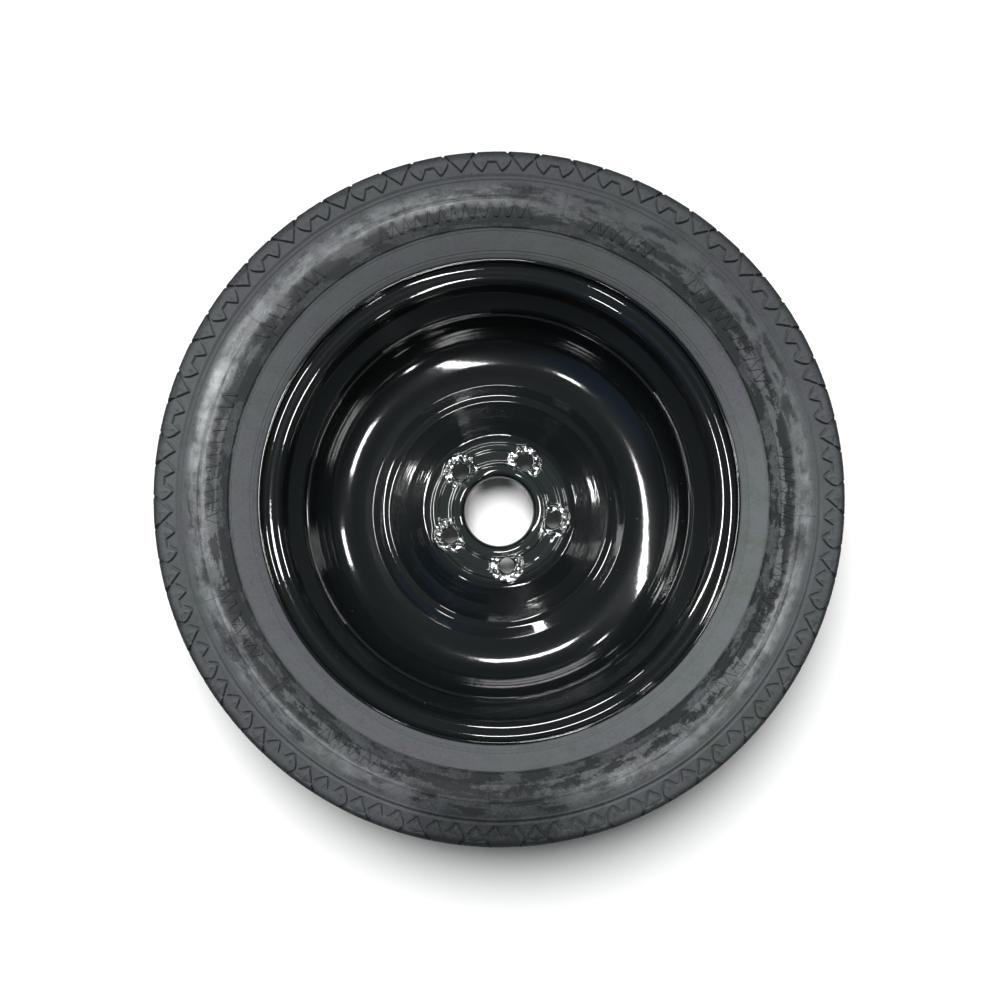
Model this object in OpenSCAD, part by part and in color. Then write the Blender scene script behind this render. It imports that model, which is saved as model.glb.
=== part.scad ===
// Space saver spare wheel lying flat, the side that faces the brake upwards.
// The axle line is Z, and Z = 0 is midway between the rim flanges.

/* [Rim] */
// Radius of the bead seats at the flange
seat_r = 202.8; // [190:0.1:230]
// Width between the flanges, where the tyre's beads stand
flange_gap = 101.6; // [96:0.1:115]
// Height of a flange above its bead seat
flange_h = 17.3; // [16:0.1:20]
// Radius of the flange's outward curl, on the tyre's side
curl_r = 9.5; // [7:0.1:10.5]
// How far the lip reaches outwards past the flange's face
lip_out = 10.2; // [9:0.1:14]
// Radius of the corner between bead seat and flange
heel_r = 6.5; // [4:0.1:7]
// Thickness of the rolled rim sheet
rim_t = 2.6; // [2:0.1:3.2]
// Slope of the bead seats in degrees
seat_slope = 5; // [3:0.5:7]
// Width of the bead seat towards the brake, as a share of half the flange gap
seat_share = 0.4094; // [0.35:0.0001:0.45]
// Width of the bead seat towards the street, as a share of half the flange gap
seat_share_out = 0.374; // [0.34:0.0001:0.42]
// How far the well's inner face lies inside the bead seats
well_drop = 18; // [16:0.1:22]
// Height of the well's edge towards the brake, as a share of half the flange gap
well_share = 0.315; // [0.28:0.0001:0.35]
// Depth of the well's edge towards the street, as a share of half the flange gap
well_share_out = 0.3543; // [0.28:0.0001:0.37]

/* [Disc] */
// Thickness of the pressed disc
disc_t = 3.5; // [3:0.1:5]
// Height of the disc flange's free edge
edge_z = 9; // [7:0.1:11]
// Radius of the deep bowl, as a share of the disc's span from the hub plate to the well
bowl_share = 0.431; // [0.36:0.001:0.45]
// Depth of the bowl's floor below the rim's middle
bowl_z = 47; // [42:0.5:50]
// Distance of the bowl floor's end from the well, as a share of the span
floor_share = 0.53; // [0.5:0.001:0.57]
// Distance of the flat step's start from the well, as a share of the span
step_share = 0.628; // [0.61:0.001:0.65]
// Width of the flat step, as a share of the span
flat_share = 0.0545; // [0.04:0.0005:0.08]
// Rise of the flat step over the bowl's floor
step_rise = 3.5; // [1:0.1:6]
// Depth of the plate around the hub below the rim's middle
plate_z = 27; // [22:0.1:32]
// How far the plate around the hub reaches past the pad's round part
plate_over = 7.1; // [6.5:0.1:12]
// Radius of the centre bore
bore_r = 33.55; // [28:0.05:35]
// Radius of the bore's rolled lip, on the visible side
lip_roll = 8.8; // [6:0.1:9]
// Length of the straight wall of the bore
bore_len = 7; // [5:0.5:10]

/* [Hub pad] */
// Diameter of the bolt circle
bolt_circle = 108; // [100:0.1:112]
// Number of bolt holes
bolt_count = 5; // [4:1:5]
// Radius of a bolt hole
bolt_hole_r = 7.5; // [6:0.1:8]
// Radius of a bolt's cone seat at the street side
cone_r = 11.5; // [10:0.1:12.5]
// Depth of the cone seat
cone_h = 2.8; // [1:0.1:3.2]
// How far the pad's round part reaches past the bolt circle
pad_over = 13.4; // [12:0.1:16]
// Radius of the pad's lobe around a bolt hole
lobe_r = 17.9; // [16:0.1:18.5]
// How far the pad's inner edge lies inside the bolt circle
pad_in = 9.4; // [8:0.1:11]
// Rise of the pad over the plate
pad_rise = 1.6; // [1:0.1:3]
// Radius of the coined boss around a bolt hole
boss_r = 14.4; // [12.5:0.1:15.5]
// Rise of the bosses over the pad
boss_rise = 0.4; // [0.2:0.1:1]
// How far the relief pockets reach inwards from the bolt circle
pocket_in = 6.6; // [4:0.1:7]
// How far the relief pockets reach outwards from the bolt circle
pocket_out = 6.8; // [2:0.1:9]
// Direction of the first bolt hole in degrees
bolt_turn = 62.2; // [0:0.1:72]

/* [Welds] */
// Number of weld seams between disc and rim
weld_count = 4; // [2:1:4]
// Length of each weld seam in degrees
weld_arc = 31; // [15:1:50]
// Height of the weld fillet
weld_leg = 3.2; // [2:0.1:3.4]
// Direction of the first weld seam's middle in degrees
weld_turn = 21; // [0:1:90]

/* [Tyre] */
// Outer radius of the tyre
tyre_r = 324.7; // [315:0.1:340]
// Width of the tyre at its widest, as a share of the flange gap
width_share = 1.3228; // [1.28:0.0001:1.4]
// Height of the tyre's widest place over the bead seats, as a share of the sidewall
widest_share = 0.4857; // [0.43:0.0001:0.53]
// Radius of the crown across the tread
crown_r = 200; // [150:1:400]
// Width of the tread between its corners, as a share of the tyre's width
tread_share = 0.6845; // [0.64:0.0001:0.72]
// Radial width of the shoulder band, as a share of the sidewall
band_share = 0.2133; // [0.19:0.0001:0.24]
// How far the shoulder's foot lies inside the widest plane
foot_drop = 7.6; // [5:0.1:10]
// Thickness of the sidewall
side_wall = 6.5; // [4:0.1:9]
// Thickness of tread and belt at the crown
crown_wall = 13; // [10:0.5:18]
// Width of the bead's base on its seat
bead_w = 16; // [13:0.1:18]
// Gap between the tyre's bead and the rim
bead_gap = 0.2; // [0.1:0.05:0.4]

/* [Tread] */
// Number of tread pitches around the tyre
pitch_count = 34; // [28:1:40]
// Direction of the first tread pitch in degrees
tread_turn = 1.2; // [0:0.1:10]
// Width of the shoulder grooves
groove_w = 3; // [2:0.1:4]
// Depth of the shoulder grooves
groove_d = 2.4; // [1:0.1:3.5]
// Radial distance of the notches' feet from the shoulder's foot
notch_foot = 4.5; // [3.5:0.1:7]
// Spread of a notch's arms at the corner, to each side, as a share of the pitch
v_spread = 0.25; // [0.15:0.01:0.3]
// Depth of the grooves that run around the tread
rib_groove_d = 4; // [2:0.1:5]
// Width of the grooves that run around the tread
rib_groove_w = 5; // [3:0.1:7]
// Distance of the outer tread grooves from the middle
rib_groove_z = 25; // [18:0.5:28]

/* [Valve] */
// Radius of the valve hole in the rim
valve_hole_r = 5.75; // [5:0.05:6]
// Direction of the valve in degrees
valve_turn = 66; // [0:1:360]
// Radius of the valve's bulb behind the hole
bulb_r = 7; // [6.5:0.1:7.2]
// Length of the rubber body past the rim
rubber_len = 24; // [20:0.5:30]
// Length of the thread that stands past the rubber
thread_len = 9; // [8.5:0.5:12]
// Radius of the thread for the cap
thread_r = 3.85; // [3.6:0.05:4.2]
// Radius of the stem inside the rubber
stem_r = 3; // [2.8:0.05:3.3]
// Travel of the core's pin
pin_travel = 1.2; // [0.8:0.1:1.5]
// Length of the cap
cap_len = 12; // [11:0.5:13]
// Outer radius of the cap
cap_r = 4.9; // [4.7:0.1:5.5]

/* [Hidden] */
$fn = 64;

arc_steps = 7;
fit_gap = 0.1;
slip = 0.05;
cut_over = 4;
half_gap = flange_gap / 2;
half_w = half_gap * width_share;
seat_fall = tan(seat_slope);
lip_r = seat_r + flange_h;
well_r = seat_r - well_drop;
rubber = [0.30, 0.30, 0.31];
gloss_black = [0.09, 0.10, 0.11];
brass = [0.78, 0.62, 0.32];

// Geometry helpers for outlines with bends
function unit(v) = v / norm(v);
function left(v) = [-v.y, v.x];
function turned(v, t) = [v.x * cos(t) - v.y * sin(t), v.x * sin(t) + v.y * cos(t)];
function backwards(list) = [for (i = [len(list) - 1:-1:0]) list[i]];
function flipped(list) = [for (p = list) [p.x, -p.y]];
function place(v) = [v.x, v.y];
function polar(r, a) = r * [cos(a), sin(a)];
function arc(centre, r, from, to, steps) =
    [for (i = [0:steps]) centre + polar(r, from + (to - from) * i / steps)];

// Points of the bend at b, on a line shifted to the left of the path
function bend(a, b, c, rad, shift, fine = arc_steps) =
    let(u = unit(b - a), w = unit(c - b),
        turn = atan2(cross(u, w), u * w),
        side = turn >= 0 ? 1 : -1,
        centre = b - u * rad * tan(abs(turn) / 2) + side * rad * left(u),
        steps = max(2, ceil(fine * abs(turn) / 60)))
    [for (i = [0:steps]) centre + turned(-side * left(u), turn * i / steps) * (rad - side * shift)];

// A path of [x, y, bend radius], shifted to its left
function path_line(path, shift) =
    let(last = len(path) - 1)
    concat(
        [place(path[0]) + shift * left(unit(place(path[1]) - place(path[0])))],
        [for (k = [1:last - 1])
            each bend(place(path[k - 1]), place(path[k]), place(path[k + 1]), path[k].z, shift)],
        [place(path[last]) + shift * left(unit(place(path[last]) - place(path[last - 1])))]);

// A strip of even thickness along a path
module strip(path, thick) {
    polygon(concat(path_line(path, thick / 2), backwards(path_line(path, -thick / 2))));
}

// Arc that leaves [r0, z0] level and passes through [r1, z1] below it
function flank(r0, z0, r1, z1, steps) =
    let(dr = r1 - r0, dz = z0 - z1, rad = (dr * dr + dz * dz) / (2 * dz),
        centre = [r0, z0 - rad],
        end = atan2(z1 - centre.y, dr))
    arc(centre, rad, 90, end, steps);

// Middle of the rim's sheet, from the upper lip to the lower one
well_bend = 5;
function rim_half(seat, well) = [
    [lip_r - rim_t / 2, half_gap + lip_out, 0],
    [lip_r - rim_t / 2, half_gap + rim_t / 2, curl_r - rim_t / 2],
    [seat_r - rim_t / 2, half_gap + rim_t / 2, heel_r + rim_t / 2],
    [seat_r - rim_t / 2 - seat * seat_fall, half_gap - seat, well_bend],
    [well_r + rim_t / 2, well, well_bend]];
seat_w_out = seat_share_out * half_gap;
well_down = well_share_out * half_gap;
rim_path = concat(rim_half(seat_share * half_gap, well_share * half_gap),
    backwards([for (p = rim_half(seat_w_out, well_down)) [p.x, -p.y, p.z]]));

// The slope that carries the valve, on the street side
slope_a = [well_r + rim_t / 2, -well_down];
slope_b = [seat_r - rim_t / 2 - seat_w_out * seat_fall, -(half_gap - seat_w_out)];
valve_spot = (slope_a + slope_b) / 2;
slope_dir = unit(slope_b - slope_a);
valve_tilt = atan2(slope_dir.y, -slope_dir.x);

// Middle of the disc's sheet, from its free edge to the end of the bore
bolt_r = bolt_circle / 2;
pad_r = bolt_r + pad_over;
pad_inner_r = bolt_r - pad_in;
plate_r = pad_r + plate_over;
disc_r = well_r - fit_gap;
span = disc_r - plate_r;
edge_straight = 6;
bowl_r = min(bowl_share * span, bowl_z + edge_z - edge_straight);
floor_r = disc_r - floor_share * span;
step_r = disc_r - step_share * span;
step_w = flat_share * span;
disc_mid_r = disc_r - disc_t / 2;
floor_mid = -bowl_z - disc_t / 2;
step_mid = floor_mid + step_rise;
plate_mid = -plate_z - disc_t / 2;
cone_knee_r = (step_r - step_w + plate_r) / 2;
knee_drop = 0.9;
knee_bend = 12;
step_bend = 4;
plate_bend = 5;
disc_path = [
    [disc_mid_r, edge_z, 0],
    [disc_mid_r, floor_mid, bowl_r + disc_t / 2],
    [floor_r, floor_mid, step_bend],
    [step_r, step_mid, step_bend],
    [step_r - step_w, step_mid, plate_bend],
    [cone_knee_r, (step_mid + plate_mid) / 2 - knee_drop, knee_bend],
    [plate_r, plate_mid, plate_bend],
    [bore_r + disc_t / 2, plate_mid, lip_roll - disc_t / 2],
    [bore_r + disc_t / 2, -plate_z - lip_roll - bore_len, 0]];
pad_top = -plate_z + pad_rise;
boss_top = pad_top + boss_rise;

// Outer outline of the tyre's upper half, from its foot at the rim to the crown
side_h = tyre_r - seat_r;
widest_r = seat_r + widest_share * side_h;
half_tread = half_w * tread_share;
crown_end = asin(half_tread / crown_r);
crown_centre = [tyre_r - crown_r, 0];
corner = crown_centre + polar(crown_r, crown_end);
foot_r = corner.x - band_share * side_h;
foot_z = half_w - foot_drop;
corner_round = 7;
corner_reach = 5;
shoulder_foot = [foot_r, foot_z];
shoulder_top = corner + corner_reach * polar(1, 90 + crown_end);
function outer_half() = concat(
    arc(crown_centre, crown_r, 0, crown_end, 2),
    bend(crown_centre + polar(crown_r, crown_end / 2), shoulder_top, shoulder_foot, corner_round, 0, 4),
    backwards(flank(widest_r, half_w, foot_r, foot_z, 5)));

heel_centre = [seat_r + heel_r, half_gap - heel_r];
curl_centre = [lip_r - curl_r, half_gap + curl_r];
rim_leave = 14;
foot_at_rim = [lip_r + 1.6, half_gap + lip_out - 1.4];
toe = [seat_r + bead_gap - bead_w * seat_fall, half_gap - bead_w];
toe_round = [1.5, -1.2];
bead_top = toe + [9, 3];
shoulder_in = [foot_r + 0.074 * side_h, foot_z - 14];
belt_half = half_tread - 12;
function bead_half() = concat(
    flank(widest_r, half_w, foot_at_rim.x, foot_at_rim.y, 6),
    backwards(arc(curl_centre, curl_r + bead_gap, -90, -rim_leave, 7)),
    arc(heel_centre, heel_r - bead_gap, 90, 180, 5),
    [toe, toe + toe_round]);
function inner_half() = concat(
    backwards(flank(widest_r, half_w - side_wall, bead_top.x, bead_top.y, 6)),
    flank(widest_r, half_w - side_wall, shoulder_in.x, shoulder_in.y, 6),
    arc([tyre_r - crown_wall - crown_r, 0], crown_r, asin(belt_half / crown_r), 0, 3));
tyre_half = concat(outer_half(), bead_half(), inner_half());
function inner_part(list) = [for (i = [1:len(list) - 2]) list[i]];

module tyre_blank() {
    rotate_extrude($fn = 128)
        polygon(concat(tyre_half, backwards(flipped(inner_part(tyre_half)))));
}

// The groove of one tread pitch is a V that opens across the tread's corner
pitch = 360 / pitch_count;
shoulder_line = shoulder_top - shoulder_foot;
arm_rise = norm(shoulder_line) - notch_foot;
arm_slant = atan2(shoulder_top.x * sin(v_spread * pitch), arm_rise);
arm_len = arm_rise / cos(arm_slant) + cut_over;
module shoulder_grooves() {
    for (k = [0:pitch_count - 1], side = [-1, 1])
        rotate([0, 0, tread_turn + k * pitch])
            translate([foot_r, 0, foot_z])
                rotate([0, atan2(-shoulder_line.y, shoulder_line.x), 0])
                    translate([notch_foot, 0, -groove_d])
                        rotate([0, 0, side * arm_slant])
                            translate([-groove_w / 2, -groove_w / 2, 0])
                                cube([arm_len, groove_w, groove_d + cut_over]);
}

module rib_grooves() {
    for (z = [-rib_groove_z, 0, rib_groove_z])
        translate([0, 0, z - rib_groove_w / 2])
            difference() {
                cylinder(h = rib_groove_w, r = tyre_r + cut_over, $fn = 128);
                translate([0, 0, -cut_over])
                    cylinder(h = rib_groove_w + 2 * cut_over, r = tyre_r - rib_groove_d, $fn = 128);
            }
}

module foot_groove(side) {
    // Fine groove where the shoulder ends and the sidewall starts
    translate([0, 0, side * foot_z])
        rotate_extrude($fn = 128)
            translate([foot_r, 0])
                circle(r = 1.3, $fn = 24);
}

module tyre() {
    color(rubber)
        difference() {
            tyre_blank();
            shoulder_grooves();
            mirror([0, 0, 1])
                shoulder_grooves();
            rib_grooves();
            foot_groove(1);
            foot_groove(-1);
        }
}

module at_valve() {
    rotate([0, 0, valve_turn])
        translate([valve_spot.x, 0, valve_spot.y])
            rotate([0, valve_tilt, 0])
                children();
}

module rim() {
    color(gloss_black)
        difference() {
            rotate_extrude($fn = 128)
                strip(rim_path, rim_t);
            at_valve()
                translate([0, 0, -rim_t * 2])
                    cylinder(h = rim_t * 4, r = valve_hole_r);
        }
}

module at_bolts() {
    for (k = [0:bolt_count - 1])
        rotate([0, 0, bolt_turn + k * 360 / bolt_count])
            translate([bolt_r, 0, 0])
                children();
}

module hub_pad() {
    translate([0, 0, plate_mid])
        linear_extrude(pad_top - plate_mid)
            difference() {
                union() {
                    circle(r = pad_r);
                    at_bolts()
                        circle(r = lobe_r);
                }
                circle(r = pad_inner_r);
            }
    translate([0, 0, plate_mid])
        linear_extrude(boss_top - plate_mid)
            difference() {
                at_bolts()
                    circle(r = boss_r);
                circle(r = pad_inner_r);
            }
}

module relief_pockets() {
    translate([0, 0, -plate_z])
        linear_extrude(pad_rise + cut_over)
            difference() {
                circle(r = bolt_r + pocket_out);
                circle(r = bolt_r - pocket_in);
                at_bolts()
                    circle(r = boss_r);
            }
}

module bolt_hole() {
    under = -plate_z - disc_t;
    translate([0, 0, under - cut_over])
        cylinder(h = disc_t + 3 * cut_over, r = bolt_hole_r);
    translate([0, 0, under - slip])
        cylinder(h = cone_h, r1 = cone_r, r2 = bolt_hole_r);
}

module wheel_disc() {
    color(gloss_black)
        difference() {
            union() {
                rotate_extrude($fn = 128)
                    strip(disc_path, disc_t);
                hub_pad();
            }
            relief_pockets();
            at_bolts()
                bolt_hole();
        }
}

// One fillet weld between the disc's free edge and the rim's well, a little bulged
bulge_in = 0.45;
bulge_out = 0.85;
module weld_seam(k) {
    outer = well_r - slip;
    start = weld_turn + k * 360 / weld_count - weld_arc / 2;
    color(gloss_black)
        rotate([0, 0, start])
            rotate_extrude(angle = weld_arc, $fn = 128)
                polygon([
                    [outer, edge_z + slip], [outer, edge_z + weld_leg],
                    [outer - bulge_in * weld_leg, edge_z + bulge_out * weld_leg],
                    [outer - bulge_out * weld_leg, edge_z + bulge_in * weld_leg],
                    [outer - weld_leg, edge_z + slip]]);
}

module weld_seam_1() { weld_seam(0); }
module weld_seam_2() { weld_seam(1); }
module weld_seam_3() { weld_seam(2); }
module weld_seam_4() { weld_seam(3); }

// Lengths along the valve are counted outwards from the middle of the rim's sheet
half_sheet = rim_t / 2 + slip;
rubber_rest = rim_t / 2 + fit_gap + slip;
bulb_end = -9.5;
bulb_taper = [1.2, 2];
shoulder_r = bulb_r + 0.4;
shoulder_h = 1.8;
shoulder_fall = 1;
sleeve_r = stem_r + 2.3;
sleeve_len = 3;
stem_out = 1;
thread_chamfer = 0.4;
stem_top = rubber_len + thread_len;
chamber_r = 2;
mouth_r = 2.55;
chamber_z = rubber_len - 14;
air_r = 1.3;

module turned_part(points) {
    at_valve()
        rotate_extrude()
            polygon(points);
}

module valve_rubber() {
    inner = stem_r + slip;
    neck = valve_hole_r - slip;
    color(rubber)
        turned_part([
            [inner, bulb_end], [bulb_r - bulb_taper.x, bulb_end], [bulb_r, bulb_end + bulb_taper.y],
            [bulb_r, -half_sheet], [neck, -half_sheet], [neck, rubber_rest], [shoulder_r, rubber_rest],
            [shoulder_r, rubber_rest + shoulder_h],
            [shoulder_r - shoulder_fall, rubber_rest + shoulder_h + shoulder_fall],
            [sleeve_r, rubber_len - sleeve_len], [sleeve_r, rubber_len], [inner, rubber_len]]);
}

module valve_stem() {
    color(brass)
        turned_part([
            [air_r, bulb_end - stem_out], [stem_r, bulb_end - stem_out], [stem_r, rubber_len + slip],
            [thread_r, rubber_len + slip], [thread_r, stem_top - thread_chamfer],
            [thread_r - thread_chamfer, stem_top],
            [mouth_r, stem_top], [mouth_r, rubber_len], [chamber_r, rubber_len],
            [chamber_r, chamber_z], [air_r, chamber_z]]);
}

// The core stands in the stem: its barrel starts above the seal, and its plug screws into the mouth
barrel_z = chamber_z + 5;
spring_floor = barrel_z + 2;
plug_z = rubber_len + 0.3;
plug_h = 5.7;
plug_top = plug_z + plug_h;
pin_r = 0.5;
hollow_r = 1.1;
gasket_z = barrel_z + 4;
gasket_h = 3;
gasket_in_r = 1.5;
barrel_r = gasket_in_r + 0.4;

module core_housing() {
    color(brass)
        turned_part([
            [pin_r + fit_gap, barrel_z], [barrel_r, barrel_z], [barrel_r, gasket_z - slip],
            [gasket_in_r, gasket_z - slip], [gasket_in_r, gasket_z + gasket_h + slip],
            [barrel_r, gasket_z + gasket_h + slip], [barrel_r, plug_z],
            [mouth_r - slip, plug_z], [mouth_r - slip, plug_top], [hollow_r, plug_top],
            [hollow_r, spring_floor], [pin_r + fit_gap, spring_floor]]);
}

module core_gasket() {
    color("white")
        turned_part([
            [gasket_in_r + slip / 2, gasket_z], [chamber_r - slip / 2, gasket_z],
            [chamber_r - slip / 2, gasket_z + gasket_h], [gasket_in_r + slip / 2, gasket_z + gasket_h]]);
}

collar_z = rubber_len + 0.6;
collar_h = 0.6;
cup_h = 1.6;
cup_r = pin_r + 0.8;
seal_h = 0.9;
cup_z = barrel_z - slip - seal_h - cup_h;
pin_tail = 0.6;
pin_head = 1.2;

module core_pin() {
    color(brass)
        turned_part([
            [0, cup_z - pin_tail], [pin_r, cup_z - pin_tail], [pin_r, cup_z], [cup_r, cup_z],
            [cup_r, cup_z + cup_h - slip], [pin_r, cup_z + cup_h - slip], [pin_r, collar_z],
            [hollow_r - fit_gap, collar_z], [hollow_r - fit_gap, collar_z + collar_h],
            [pin_r, collar_z + collar_h], [pin_r, plug_top + pin_head], [0, plug_top + pin_head]]);
}

module core_seal() {
    color([0.15, 0.15, 0.15])
        turned_part([
            [pin_r + slip / 2, cup_z + cup_h], [cup_r - slip, cup_z + cup_h],
            [cup_r - slip, cup_z + cup_h + seal_h], [pin_r + slip / 2, cup_z + cup_h + seal_h]]);
}

// Coil of round wire, swept as rings of points with its ends closed
spring_turns = 8;
turn_steps = 10;
wire_sides = 6;
wire_r = 0.12;
spring_room = 0.2;
coil_r = (pin_r + hollow_r) / 2;
spring_h = collar_z - pin_travel - spring_room - spring_floor - 2 * wire_r;
ring_count = spring_turns * turn_steps + 1;
function coil_point(i, j) =
    let(a = 360 * i / turn_steps, b = 360 * j / wire_sides, r = coil_r + wire_r * cos(b))
    [r * cos(a), r * sin(a),
     spring_floor + wire_r + slip + spring_h * i / (ring_count - 1) + wire_r * sin(b)];
function ring_id(i, j) = i * wire_sides + j % wire_sides;

module core_spring() {
    color("silver")
        at_valve()
            polyhedron(
                points = [for (i = [0:ring_count - 1]) for (j = [0:wire_sides - 1]) coil_point(i, j)],
                faces = concat(
                    [[for (j = [0:wire_sides - 1]) j]],
                    [for (i = [0:ring_count - 2]) for (j = [0:wire_sides - 1])
                        [ring_id(i, j), ring_id(i + 1, j), ring_id(i + 1, j + 1), ring_id(i, j + 1)]],
                    [[for (j = [wire_sides - 1:-1:0]) ring_id(ring_count - 1, j)]]));
}

seal_z = stem_top + slip;
cap_seal_h = 1;
cap_roof = seal_z + cap_seal_h + slip;
cap_over = 4.5;
cap_top = stem_top + cap_over;
cap_skirt = cap_top - cap_len;
skirt_round = [0.3, 0.4];
cap_chamfer = 1;
cap_bore_r = thread_r + slip;

module valve_cap() {
    color([0.12, 0.12, 0.13])
        turned_part([
            [cap_bore_r, cap_skirt], [cap_r - skirt_round.x, cap_skirt], [cap_r, cap_skirt + skirt_round.y],
            [cap_r, cap_top - cap_chamfer], [cap_r - cap_chamfer, cap_top], [0, cap_top],
            [0, cap_roof], [cap_bore_r, cap_roof]]);
}

module cap_seal() {
    color([0.2, 0.2, 0.2])
        at_valve()
            translate([0, 0, seal_z])
                cylinder(h = cap_seal_h, r = thread_r - fit_gap);
}

tyre();
rim();
wheel_disc();
weld_seam_1();
weld_seam_2();
weld_seam_3();
weld_seam_4();
valve_rubber();
valve_stem();
core_housing();
core_gasket();
core_pin();
core_seal();
core_spring();
valve_cap();
cap_seal();
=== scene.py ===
import math
import random

import bmesh
import bpy
from mathutils import Matrix, Vector, noise
from mathutils.geometry import delaunay_2d_cdt


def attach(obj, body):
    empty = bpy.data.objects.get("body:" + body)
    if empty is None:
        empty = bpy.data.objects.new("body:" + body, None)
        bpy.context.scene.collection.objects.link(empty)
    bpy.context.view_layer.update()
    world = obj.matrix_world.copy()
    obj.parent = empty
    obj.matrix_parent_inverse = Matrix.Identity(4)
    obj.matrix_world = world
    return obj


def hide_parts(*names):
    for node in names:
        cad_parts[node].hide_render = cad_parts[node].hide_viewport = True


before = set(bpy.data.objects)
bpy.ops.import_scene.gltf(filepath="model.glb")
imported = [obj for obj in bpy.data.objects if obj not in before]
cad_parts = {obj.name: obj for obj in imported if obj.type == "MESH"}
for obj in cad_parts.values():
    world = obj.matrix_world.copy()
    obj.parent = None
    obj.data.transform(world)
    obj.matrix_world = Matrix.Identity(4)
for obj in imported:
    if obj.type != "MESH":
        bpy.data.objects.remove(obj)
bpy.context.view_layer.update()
print("frame loaded")

# Sizes below are in millimetres, as on a drawing; meshes are made in metres
mm = 0.001


# Outlines: lists of (radius, height) points

def unit(x, z):
    size = math.hypot(x, z)
    return x / size, z / size


def polar(radius, angle, centre=(0.0, 0.0)):
    return centre[0] + radius * math.cos(angle), centre[1] + radius * math.sin(angle)


def offsetPath(path, shift, fine=7.5, hold=0.4):
    # path holds (radius, height, bend radius); the result runs beside it, shifted to its left
    points = []
    last = len(path) - 1
    for k, (r, z, bend) in enumerate(path):
        if k in (0, last):
            a, b = path[:2] if k == 0 else path[-2:]
            ux, uz = unit(b[0] - a[0], b[1] - a[1])
            points.append((r - shift * uz, z + shift * ux))
            continue
        ux, uz = unit(r - path[k - 1][0], z - path[k - 1][1])
        wx, wz = unit(path[k + 1][0] - r, path[k + 1][1] - z)
        turn = math.atan2(ux * wz - uz * wx, ux * wx + uz * wz)
        side = 1 if turn >= 0 else -1
        reach = bend * math.tan(abs(turn) / 2)
        centre = (r - ux * reach - side * bend * uz, z - uz * reach + side * bend * ux)
        arm = bend - side * shift
        steps = max(3, math.ceil(abs(turn) / math.radians(fine)))
        ring = []
        for i in range(steps + 1):
            t = turn * i / steps
            sx, sz = side * uz, -side * ux
            ring.append((centre[0] + arm * (sx * math.cos(t) - sz * math.sin(t)),
                         centre[1] + arm * (sx * math.sin(t) + sz * math.cos(t))))
        # a point just outside each end of the bend keeps the flats flat when shaded smooth
        points.append((ring[0][0] - ux * hold, ring[0][1] - uz * hold))
        points += ring
        points.append((ring[-1][0] + wx * hold, ring[-1][1] + wz * hold))
    return points


def endCap(end, before, thick, round_):
    # rounded sheet edge, from the path's left side to its right side
    wx, wz = unit(end[0] - before[0], end[1] - before[1])
    lx, lz = -wz, wx
    inset = thick / 2 - round_
    points = []
    for side in (1, -1):
        cx = end[0] + side * lx * inset - wx * round_
        cz = end[1] + side * lz * inset - wz * round_
        for i in range(5):
            t = math.radians(22.5 * (i if side == 1 else 4 - i))
            points.append((cx + round_ * (side * lx * math.cos(t) + wx * math.sin(t)),
                           cz + round_ * (side * lz * math.cos(t) + wz * math.sin(t))))
    return points


def arcPoints(centre, radius, start, end, steps):
    return [polar(radius, math.radians(start + (end - start) * i / steps), centre) for i in range(steps + 1)]


def flank(r0, z0, r1, z1, steps):
    # arc that leaves (r0, z0) level and passes (r1, z1) below it
    dr, dz = r1 - r0, z0 - z1
    radius = (dr * dr + dz * dz) / (2 * dz)
    end = math.degrees(math.atan2(z1 - z0 + radius, dr))
    return arcPoints((r0, z0 - radius), radius, 90, end, steps)


def flipped(points):
    return [(r, -z) for r, z in reversed(points)]


# Meshes

def bridge(bm, low, high):
    # quads between two closed rings of vertices
    for i in range(len(low)):
        j = (i + 1) % len(low)
        bm.faces.new((low[i], low[j], high[j], high[i]))


def addLathe(bm, outline, columns, closed, start=0.0):
    rings = []
    for r, z in outline:
        rings.append([bm.verts.new((*polar(r * mm, start + math.tau * i / columns), z * mm))
                      for i in range(columns)])
    for low, high in zip(rings, rings[1:] + rings[:1] if closed else rings[1:]):
        bridge(bm, low, high)


def addObject(name, data):
    made = bpy.data.objects.new(name, data)
    bpy.context.scene.collection.objects.link(made)
    return made


def cleanUp(bm):
    bmesh.ops.remove_doubles(bm, verts=bm.verts, dist=1e-5)
    bmesh.ops.dissolve_degenerate(bm, edges=bm.edges, dist=1e-7)
    bmesh.ops.recalc_face_normals(bm, faces=bm.faces)


def meshFromBuild(bm, name):
    mesh = bpy.data.meshes.new(name)
    bm.to_mesh(mesh)
    bm.free()
    return mesh


def finishMesh(bm, name, sharp, material):
    mesh = meshFromBuild(bm, name)
    mesh.shade_smooth()
    mesh.set_sharp_from_angle(angle=math.radians(sharp))
    # clearing also gives every face back to the first material
    mesh.materials.clear()
    mesh.materials.append(material)
    return addObject(name, mesh)


def meshFromLists(name, verts, faces):
    mesh = bpy.data.meshes.new(name)
    mesh.from_pydata(verts, [], faces)
    mesh.update()
    return mesh


# Nodes as expressions: a Wire is one output of a node

def feed(node, values):
    # each input gets its value, or a link where that is a Wire
    for key, value in values.items():
        socket = node.inputs[key] if isinstance(key, int) else next(
            s for s in node.inputs if s.enabled and key in (s.identifier, s.name))
        if isinstance(value, Wire):
            value.tree.links.new(value.socket, socket)
        else:
            socket.default_value = value


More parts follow.
